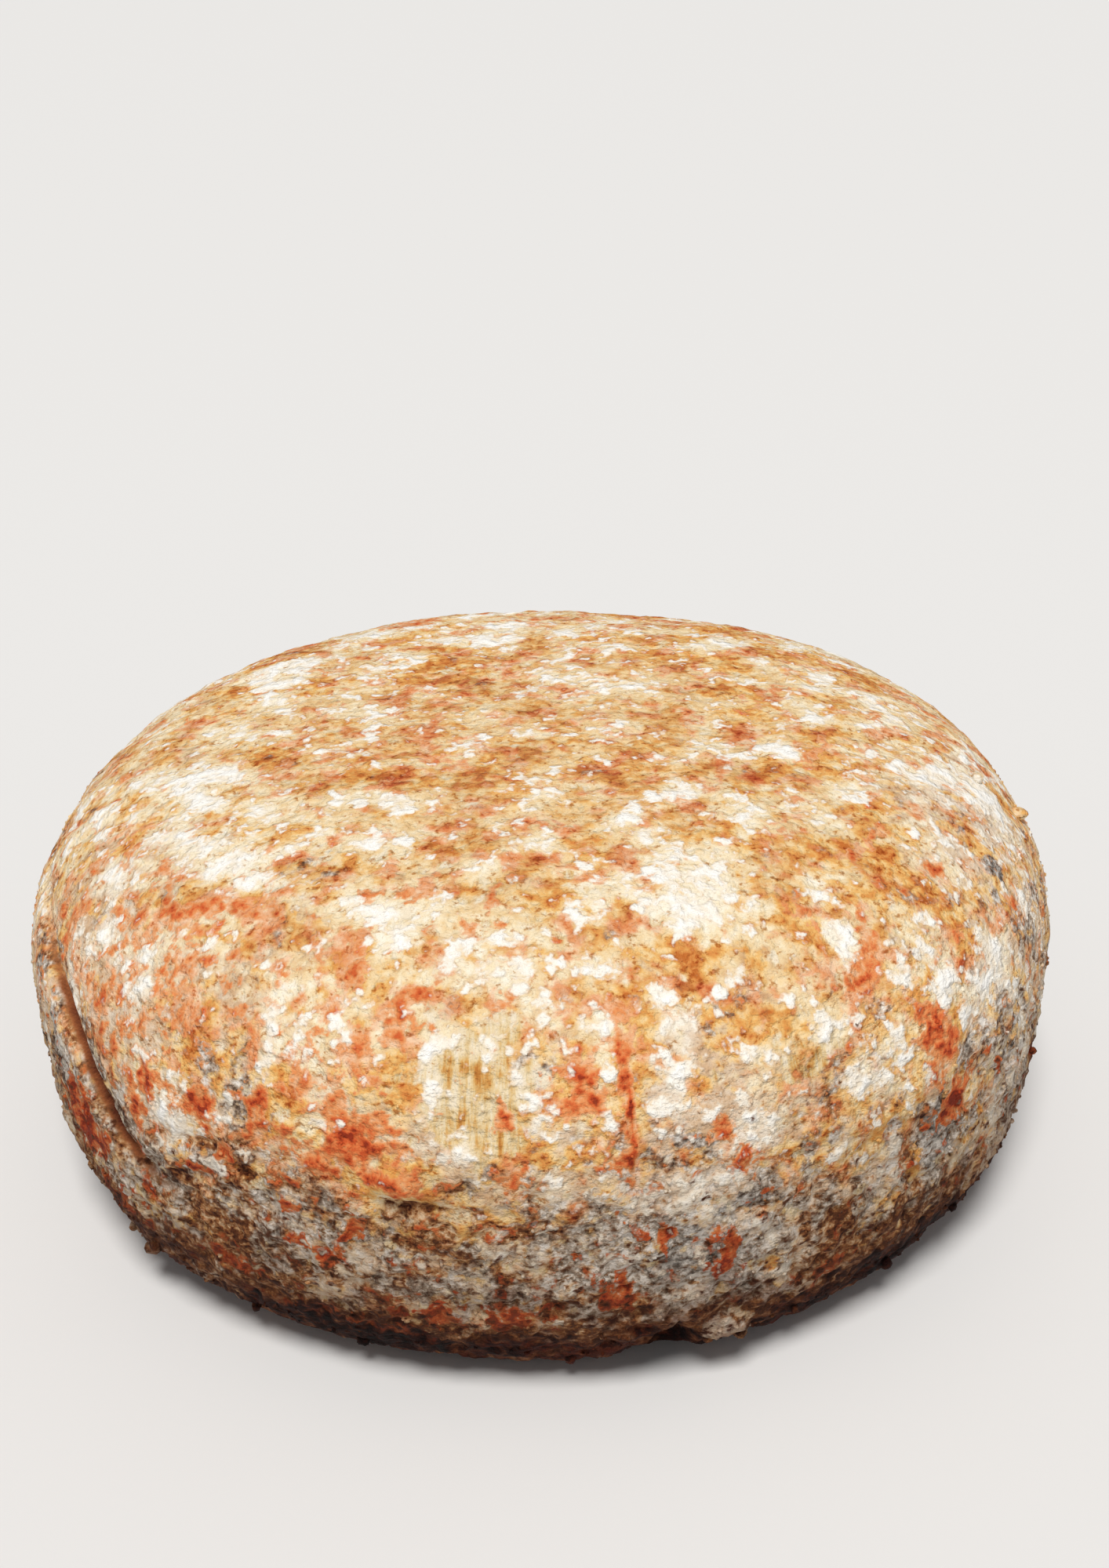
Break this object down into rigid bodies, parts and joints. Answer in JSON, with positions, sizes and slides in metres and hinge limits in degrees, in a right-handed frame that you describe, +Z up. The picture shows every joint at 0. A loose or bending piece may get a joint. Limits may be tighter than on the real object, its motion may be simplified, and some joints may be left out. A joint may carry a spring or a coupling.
{
  "type": "cheese wheel",
  "caption": "Whole farmhouse cheese wheel with a crowned top, round shoulders, a full side and a mottled natural rind creased by the press cloth.",
  "frame": {"origin": "middle of the flat foot that the wheel stands on", "axes": "+Z up through the middle of the wheel, and -Y towards the front of the side, with the cloth crease to its left, on the -X side"},
  "size_m": [0.2594, 0.2598, 0.1112],
  "materials": {
    "rind": "dry, dusty natural cheese rind, white bloom broken by ochre, orange and red patches, matt all over"
  },
  "bodies": {
    "root": {"cheese_wheel": "rind"}
  },
  "joints": []
}
